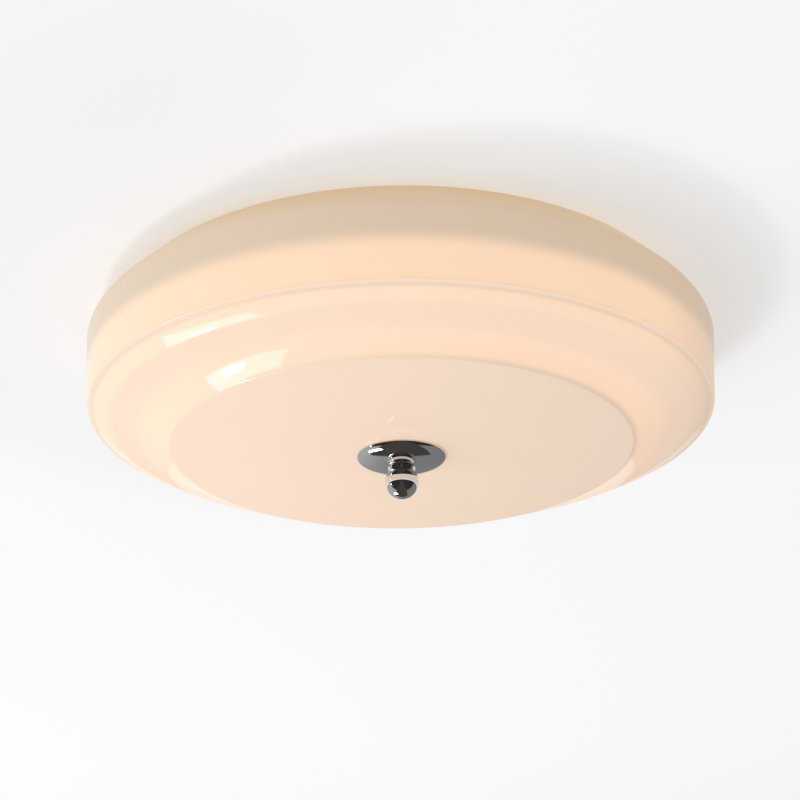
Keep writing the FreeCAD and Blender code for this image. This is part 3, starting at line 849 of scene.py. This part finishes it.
@dataclass
class Finial:
    """Chromed dome cap and the ball knob below it."""

    wardrobe: Wardrobe
    cap_radius: float = 0.0288
    cap_wall: float = 0.001
    rim_land: float = 0.0010
    rim_ease: float = 0.0002
    bore: float = 0.0042
    bore_ease: float = 0.0003
    bore_depth: float = 0.0126
    seat_radius: float = 0.0091
    collar_radius: float = 0.0090
    collar_round: float = 0.00025
    lip_height: float = 0.0002
    neck_radius: float = 0.0082
    ball_radius: float = 0.0108
    segments: int = 160

    @staticmethod
    def bowl(level: float, radius: float, depth: float, start: float, end: float,
             steps: int) -> list[ProfilePoint]:
        """Points on the elliptical section of a shallow bowl.

        Args:
            level: Height of the bowl's rim.
            radius: Half width.
            depth: Depth below the rim.
            start: First angle in degrees, 0 at the rim and 90 at the bottom.
            end: Last angle.
            steps: Number of chords.

        Returns:
            The profile points.
        """
        flat = arc((0.0, 0.0), 1.0, start, end, steps)
        return [(radius * across, level - depth * down) for across, down in flat]

    def cap(self) -> bpy.types.Object:
        """The dome, with a rolled rim.

        Returns:
            The finished cap.
        """
        low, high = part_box("finial_cap")
        height = high.z - low.z
        share = self.seat_radius / self.cap_radius
        rim = [(self.cap_radius - self.rim_land, high.z),
               (self.cap_radius - self.rim_ease, high.z - self.rim_ease / 2.0)]
        dome = self.bowl(high.z, self.cap_radius, height / math.sqrt(1.0 - share ** 2), start=2.0,
                         end=math.degrees(math.acos(share)), steps=56)
        seat = [(self.bore, low.z), (self.bore, low.z + self.cap_wall)]
        hollow = self.bowl(high.z, self.cap_radius - self.cap_wall, height - self.cap_wall, start=80.0,
                           end=4.0, steps=24)
        return turned("cap_dome", rim + dome + seat + hollow, self.segments)

    def knob(self) -> bpy.types.Object:
        """Collar, neck and ball, turned in one piece.

        Returns:
            The finished knob.
        """
        low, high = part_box("finial_knob")
        top = high.z
        floor, lip = top - self.bore_depth, top - self.lip_height
        meet = math.degrees(math.acos(self.neck_radius / self.ball_radius))
        ball = arc((0.0, low.z + self.ball_radius), self.ball_radius, meet, -90.0, 60)
        corners = [(self.bore + self.bore_ease, top), (self.collar_radius, top), (self.collar_radius, lip),
                   ball[0]]
        collar = rounded(corners, [0, self.collar_round, 0, 0])
        bore = [(0.0, floor), (self.bore, floor), (self.bore, top - self.bore_ease)]
        return turned("knob_ball", bore + collar + ball[1:], self.segments)

    def build(self) -> None:
        """Makes both pieces and sets them on their bodies."""
        for piece, body, node in ((self.cap(), Body.CAP, "finial_cap"),
                                  (self.knob(), Body.KNOB, "finial_knob")):
            self.wardrobe.dress(piece, Finish.CHROME)
            settle(piece, body, node)


@dataclass
class Fixture:
    """The threaded rod, and the finishes of the pieces that keep their CAD shape."""

    wardrobe: Wardrobe
    nodes: dict[str, bpy.types.Object]
    thread_pitch: float = 0.00125
    thread_start: float = 0.0008
    thread_steps: int = 24
    thread_form: tuple[Span, ...] = ((0.0, 0.0006), (0.4, 0.0), (0.55, 0.0))
    coats: dict[str, Finish] = field(default_factory=lambda: {
        "ceiling_pan": Finish.COAT, "pan_seal": Finish.FOAM, "mounting_crossbar": Finish.ZINC,
        "pan_studs": Finish.ZINC, "rod_washers": Finish.ZINC, "led_board": Finish.BOARD,
        "led_connector": Finish.CONNECTOR, "led_driver": Finish.DRIVER, "terminal_block": Finish.TERMINAL,
        "earth_washer": Finish.ZINC, "lead_grommet": Finish.RUBBER, "led_lead": Finish.SHEATH,
        "input_lead": Finish.SHEATH, "shade_bush": Finish.SILICONE, "shade_washer": Finish.SILICONE})

    def rod(self) -> bpy.types.Object:
        """The centre rod with its helical thread, whose form is shares of the pitch and insets.

        Returns:
            The finished rod.
        """
        low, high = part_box("centre_rod")
        steps = (int((high.z - low.z) / self.thread_pitch) - 1) * self.thread_steps
        mesh = bmesh.new()
        rows: list[list[bmesh.types.BMVert]] = []
        for n in range(steps + 1):
            angle = 2 * math.pi * n / self.thread_steps
            base = low.z + self.thread_start + self.thread_pitch * n / self.thread_steps
            form = [(high.x - inset, base + share * self.thread_pitch) for share, inset in self.thread_form]
            rows.append([mesh.verts.new((r * math.cos(angle), r * math.sin(angle), z)) for r, z in form])
        for n, (row, after) in enumerate(zip(rows, rows[1:])):
            for k in range(2):
                mesh.faces.new((row[k], after[k], after[k + 1], row[k + 1]))
            if n + self.thread_steps < steps:
                upper, upper_after = rows[n + self.thread_steps][0], rows[n + self.thread_steps + 1][0]
                mesh.faces.new((row[2], after[2], upper_after, upper))
        bmesh.ops.holes_fill(mesh, edges=mesh.edges, sides=0)
        bmesh.ops.recalc_face_normals(mesh, faces=mesh.faces)
        return finished("threaded_rod", mesh, 50.0)

    def build(self) -> None:
        """Dresses the carried-over pieces and makes the rod."""
        for node, finish in self.coats.items():
            self.wardrobe.dress(self.nodes[node], finish)
            LOG.info("%s: %s", node, finish.name.lower())
        rod = self.rod()
        self.wardrobe.dress(rod, Finish.ZINC)
        settle(rod, Body.FIXTURE, "centre_rod")


@dataclass(frozen=True)
class Screw:
    """One kind of screw, its seat at level 0. Lengths are in metres."""

    radius: float = 0.0028
    height: float = 0.0020
    shank: float = 0.0015
    tail: float = 0.0
    cross: bool = True
    upright: bool = True
    drive_width: float = 0.0006
    sink: float = 0.0004

    def shape(self, made: Field) -> Socket:
        """A domed head with a cross or slot recess, and a shank where the tail has a length.

        Args:
            made: The tree under construction.

        Returns:
            The screw, its head up or hanging down.
        """
        height, low = self.height, (0.0, 0.0, -self.height)
        barrel = made.taper(32, self.radius, self.radius, height, -height)
        dome = made.round(self.radius * 1.12, height * 1.30, height * 0.12)
        body = made.combined("INTERSECT", barrel, [dome])
        length = self.radius * (1.25 if self.cross else 2.4)
        body = made.combined("DIFFERENCE", body, [made.block((length, self.drive_width, height), low)])
        if self.cross:
            second = made.block((self.drive_width, length, height * 0.95), low)
            body = made.combined("DIFFERENCE", body, [second])
        parts = [body]
        if self.tail > 0.0:
            parts.append(made.taper(20, self.shank, self.shank * 0.8, self.tail + self.sink, -self.sink))
        whole = made.join(parts)
        return made.moved(whole, turn=(180.0, 0.0, 0.0)) if self.upright else whole


@dataclass(frozen=True)
class Nut:
    """One kind of hex nut, its lower face at level 0. Lengths are in metres."""

    flats: float
    bore: float
    height: float
    overcut: float = 0.001

    def shape(self, made: Field) -> Socket:
        """A hex prism with chamfered corners and a plain bore.

        Args:
            made: The tree under construction.

        Returns:
            The nut.
        """
        half = self.flats / 2.0
        corner = half / math.cos(math.pi / 6.0)
        ball = made.round(half * 1.323, self.height * 0.741, self.height / 2.0)
        body = made.combined("INTERSECT", made.taper(6, corner, corner, self.height), [ball])
        drill = made.taper(32, self.bore, self.bore, self.height + 2.0 * self.overcut, -self.overcut)
        return made.combined("DIFFERENCE", body, [drill])


@dataclass(frozen=True)
class Row:
    """Like fasteners in rows along X, and the CAD node that they stand for."""

    name: str
    node: str
    kind: Screw | Nut
    starts: tuple[Place, ...]
    count: int = 1
    step: float = 0.0
    finish: Finish = Finish.ZINC
    slot: str = "zinc_steel"

    def build(self, wardrobe: Wardrobe) -> None:
        """Makes the fasteners as one piece and sets them on the fixture.

        Args:
            wardrobe: Where their finish comes from.
        """
        made = Field(self.name, {"Count": self.count, "Step": self.step})
        piece = made.grow(made.rows(self.starts), self.kind.shape(made), wardrobe.get(self.finish))
        settle(piece, Body.FIXTURE, self.node)


@dataclass
class Fasteners:
    """Nuts and screws of the fixture, with chamfers, drives and bores."""

    wardrobe: Wardrobe
    board_screw: Screw = Screw(tail=0.0025, upright=False)
    board_count: int = 4
    board_circle: float = 0.086
    board_level: float = -0.0416
    board_angle: float = 45.0
    rows: tuple[Row, ...] = (
        Row("driver_ear_screws", "driver_screws", Screw(tail=0.0024), ((-0.062, 0.078, -0.0375),), 2, 0.124),
        Row("clamp_screws", "terminal_screws", Screw(0.0021, 0.0024, cross=False),
            ((-0.010, -0.0605, -0.0285), (-0.010, -0.0515, -0.0285)), 3, 0.010),
        Row("bonding_screw", "earth_screw", Screw(0.0038, 0.0026, 0.0020, 0.0048, cross=False),
            ((-0.034, -0.040, -0.0382),), finish=Finish.BRASS, slot="brass"),
        Row("stud_hex_nuts", "pan_nuts", Nut(0.007, 0.0022, 0.0032),
            ((-0.048, 0.0, -0.0052), (-0.048, 0.0, -0.0432)), 2, 0.096),
        Row("rod_hex_nuts", "rod_nuts", Nut(0.013, 0.0042, 0.0065),
            ((0.0, 0.0, -0.0085), (0.0, 0.0, -0.0374), (0.0, 0.0, -0.0481))),
    )

    def build(self) -> None:
        """Makes the board's screws on their circle, then each row of fasteners."""
        board = Field("board_screws", {"Count": self.board_count, "Radius": self.board_circle})
        points = board.ring(board.size("Radius"), self.board_level, self.board_angle)
        piece = board.grow(points, self.board_screw.shape(board), self.wardrobe.get(Finish.ZINC))
        settle(piece, Body.FIXTURE, "led_screws")
        for row in self.rows:
            row.build(self.wardrobe)


@dataclass
class Emitters:
    """Square emitters on two rings: a moulded body with a round well and a phosphor lens."""

    wardrobe: Wardrobe
    level: float = -0.0416
    outer: float = 0.130
    pitch: float = 0.024
    count: int = 24
    side: float = 0.005
    draft: float = 0.93
    height: float = 0.0015
    well_mouth: float = 0.0021
    well_floor: float = 0.0016
    well_depth: float = 0.0010
    overcut: float = 0.0001
    mark_side: float = 0.0008
    mark_depth: float = 0.0006
    mark_place: float = 0.00215
    lens_radius: float = 0.00165
    lens_half: float = 0.00045
    lens_sink: float = 0.00055

    def rings(self, made: Field) -> Socket:
        """The points of both rings.

        Args:
            made: The tree under construction.

        Returns:
            The points.
        """
        outer = made.size("Radius")
        inner = made.node("ShaderNodeMath", {0: outer, 1: self.pitch}, operation="SUBTRACT").outputs[0]
        return made.join([made.ring(outer, self.level), made.ring(inner, self.level)])

    def build(self) -> None:
        """Makes the bodies and the lenses."""
        sizes = {"Count": self.count, "Radius": self.outer}
        corner, face, mark = self.side / math.sqrt(2.0), -self.height, self.mark_side
        bodies, lenses = Field("emitter_bodies", sizes), Field("emitter_lenses", sizes)
        body = bodies.taper(4, corner * self.draft, corner, self.height, face, 45.0)
        well = bodies.taper(28, self.well_mouth, self.well_floor, self.well_depth, face - self.overcut)
        notch = bodies.block((mark, mark, self.mark_depth), (self.mark_place, self.mark_place, face))
        body = bodies.combined("DIFFERENCE", body, [well, notch])
        lens = lenses.round(self.lens_radius, self.lens_half, face + self.lens_sink, 20)
        for made, part, finish, slot in ((bodies, body, Finish.CONNECTOR, "connector_white"),
                                         (lenses, lens, Finish.PHOSPHOR, "led_phosphor")):
            piece = made.grow(self.rings(made), part, self.wardrobe.get(finish), facing=True)
            settle(piece, Body.FIXTURE, "led_chips")


# ---studio
@dataclass(frozen=True)
class SoftBox:
    """One rectangular studio lamp that faces the shade."""

    name: str
    place: Place
    width: float
    height: float
    power: float
    tint: Colour = (1.0, 1.0, 1.0)
    target: Place = (0.0, 0.0, -0.06)

    def build(self) -> None:
        """Adds the lamp."""
        data = bpy.data.lights.new(self.name, "AREA")
        data.shape = "RECTANGLE"
        data.size, data.size_y = self.width, self.height
        data.energy, data.color = self.power, self.tint
        lamp = new_object(self.name, data)
        lamp.location = self.place
        lamp.rotation_euler = (Vector(self.target) - Vector(self.place)).to_track_quat("-Z", "Y").to_euler()


@dataclass
class Studio:
    """Camera, ceiling, lamps and background. Spans of the room are slopes seen from the lamp."""

    distance: float = 0.8334
    drop: float = 0.4109
    pitch: float = 23.55
    roll: float = -0.66
    pan: float = -0.04
    lens: float = 63.0
    sensor: float = 36.0
    far_clip: float = 100.0
    backdrop: Colour = (0.92158, 0.92158, 0.92158)
    plain_light: Colour = (0.44, 0.44, 0.44)
    ceiling_hole: float = 0.1800
    ceiling_reach: float = 9.0
    ceiling_paint: Colour = (0.62, 0.62, 0.62)
    ceiling_lift: float = 0.436
    # Painted shade on the ceiling near the lamp's left side: depth, reach from the axis and side.
    left_shade_depth: float = 0.065
    left_shade_reach: Span = (0.46, 0.21)
    left_shade_side: Span = (0.06, -0.14)
    room_radius: float = 6.5
    wall_right: Colour = (0.22, 0.22, 0.22)
    wall_left: Colour = (0.46, 0.465, 0.47)
    wall_near: Colour = (0.030, 0.030, 0.030)
    floor_colour: Colour = (0.060, 0.055, 0.050)
    wall_side: Span = (0.1, -0.5)
    near_slope: Span = (0.02, -0.30)
    floor_right: Span = (0.54, 0.47)
    floor_left: Span = (0.62, 0.55)
    floor_far: Span = (1.08, 0.95)
    day_level: float = 0.87
    day_from: Place = (-0.74, 0.12, -0.66)
    day_width: float = 78.0
    day_tint: Colour = (0.97, 0.99, 1.04)
    lamps: tuple[SoftBox, ...] = (
        SoftBox("window", (-2.33, 1.99, -4.03), 0.96, 1.69, 42.0, (1.0, 0.93, 1.03)),
        SoftBox("window_core", (-2.23, 2.15, -3.77), 0.28, 0.40, 14.0),
        SoftBox("far_window", (-2.90, -0.40, -0.75), 0.30, 0.30, 5.0),
    )

    def camera(self) -> None:
        """Adds the camera where the photograph was taken from."""
        data = bpy.data.cameras.new("camera")
        data.lens, data.sensor_width, data.clip_end = self.lens, self.sensor, self.far_clip
        eye = new_object("camera", data)
        tilt = Euler((math.radians(90.0 + self.pitch), 0.0, math.radians(-self.pan))).to_matrix()
        roll = Matrix.Rotation(math.radians(self.roll), 3, "Z")
        eye.matrix_world = Matrix.Translation((0.0, -self.distance, -self.drop)) @ (tilt @ roll).to_4x4()
        bpy.context.scene.camera = eye

    @staticmethod
    def seen(paint: Paint) -> Signal:
        """1 for a ray from the eye or a shiny or clear surface, 0 for one that carries light.

        Args:
            paint: The material under construction.

        Returns:
            The mask.
        """
        path = add_node(paint.tree, "ShaderNodeLightPath")
        direct, shiny, through = (Signal(paint, path.outputs[name]) for name in
                                  ("Is Camera Ray", "Is Glossy Ray", "Is Transmission Ray"))
        return paint.node("ShaderNodeMath", {"operation": "ADD", "use_clamp": True},
                          {0: direct + shiny, 1: through})

    def ceiling(self) -> None:
        """Adds the ceiling round the lamp's neck, seen only from below."""
        sheet = turned("ceiling_sheet", [(self.ceiling_hole, 0.0), (self.ceiling_reach, 0.0)], 256, False)
        if sheet.data.polygons[0].normal.z > 0:
            sheet.data.flip_normals()
        paint = Paint("ceiling_paint", self.ceiling_paint, 1.0)
        paint.set("Specular IOR Level", 0.0)
        paint.set("Emission Color", (1.0, 1.0, 1.0, 1.0))
        across, along, _ = paint.axes()
        reach = (across * across + along * along) ** 0.5
        # Painted shade: the ceiling is drawn darker near the lamp on its left side.
        painted_left_shade = reach.between(*self.left_shade_reach) * across.between(*self.left_shade_side)
        paint.set("Emission Strength", self.seen(paint) * (self.ceiling_lift - painted_left_shade * self.left_shade_depth))
        paint.show_front_only()
        paint.light_nothing()
        sheet.data.materials.append(paint.material)

    def room(self) -> None:
        """Adds the room below, which only shiny surfaces mirror: dark floor and grey walls."""
        bowl = arc((0.0, 0.0), self.room_radius, -90.0, 0.0, 24)
        shell = turned("room_walls", [(0.0, -self.room_radius)] + bowl[1:], 96, False)
        paint = Paint("room_walls", (0.0, 0.0, 0.0), 1.0)
        across, along, up = paint.axes()
        down = up * -1.0
        slope = along / down
        left = (across / self.room_radius).between(*self.wall_side)
        wall = paint.blend(left, self.wall_right, self.wall_left)
        wall = paint.blend(slope.between(*self.near_slope), wall, self.wall_near)
        floor = (across / down).between(*self.floor_right) * (across / up).between(*self.floor_left)
        floor = floor * slope.between(*self.floor_far)
        paint.set("Specular IOR Level", 0.0)
        paint.set("Emission Color", paint.blend(floor, wall, self.floor_colour))
        paint.set("Emission Strength", 1.0)
        paint.light_nothing()
        shell.data.materials.append(paint.material)
        for rays in ("camera", "diffuse", "shadow", "transmission", "volume_scatter"):
            setattr(shell, f"visible_{rays}", False)

    def world(self) -> None:
        """Sets the background: white to the eye, soft and plain as light."""
        world = bpy.data.worlds.new("studio")
        bpy.context.scene.world = world
        world.use_nodes = True
        tree = world.node_tree
        path = add_node(tree, "ShaderNodeLightPath")
        ends = {6: (*self.backdrop, 1.0), 7: (*self.plain_light, 1.0)}
        mix = add_node(tree, "ShaderNodeMix", {"data_type": "RGBA"},
                       {0: path.outputs["Is Diffuse Ray"], **ends})
        fill(tree, tree.nodes["Background"].inputs["Color"], mix.outputs[2])
        bpy.context.scene.view_settings.view_transform = "Standard"

    def daylight(self) -> None:
        """Adds the broad soft light from the left, which shiny surfaces don't mirror."""
        data = bpy.data.lights.new("daylight", "SUN")
        data.energy, data.angle = self.day_level, math.radians(self.day_width)
        data.color = self.day_tint
        lamp = new_object("daylight", data)
        lamp.rotation_euler = (-Vector(self.day_from)).to_track_quat("-Z", "Y").to_euler()
        lamp.visible_glossy = False

    def build(self) -> None:
        """Sets up the whole studio."""
        for step in (self.camera, self.ceiling, self.room, self.world, self.daylight):
            step()
        for lamp in self.lamps:
            lamp.build()
        LOG.info("studio: %d lamps", len(self.lamps))


def main() -> None:
    """Builds the lamp and its studio."""
    logging.basicConfig(level=logging.INFO, format="%(name)s: %(message)s")
    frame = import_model()
    wardrobe = Wardrobe()
    Studio().build()
    Shade(wardrobe).build()
    Finial(wardrobe).build()
    Fixture(wardrobe, frame["nodes"]).build()
    Fasteners(wardrobe).build()
    Emitters(wardrobe).build()


if __name__ == "__main__":
    main()
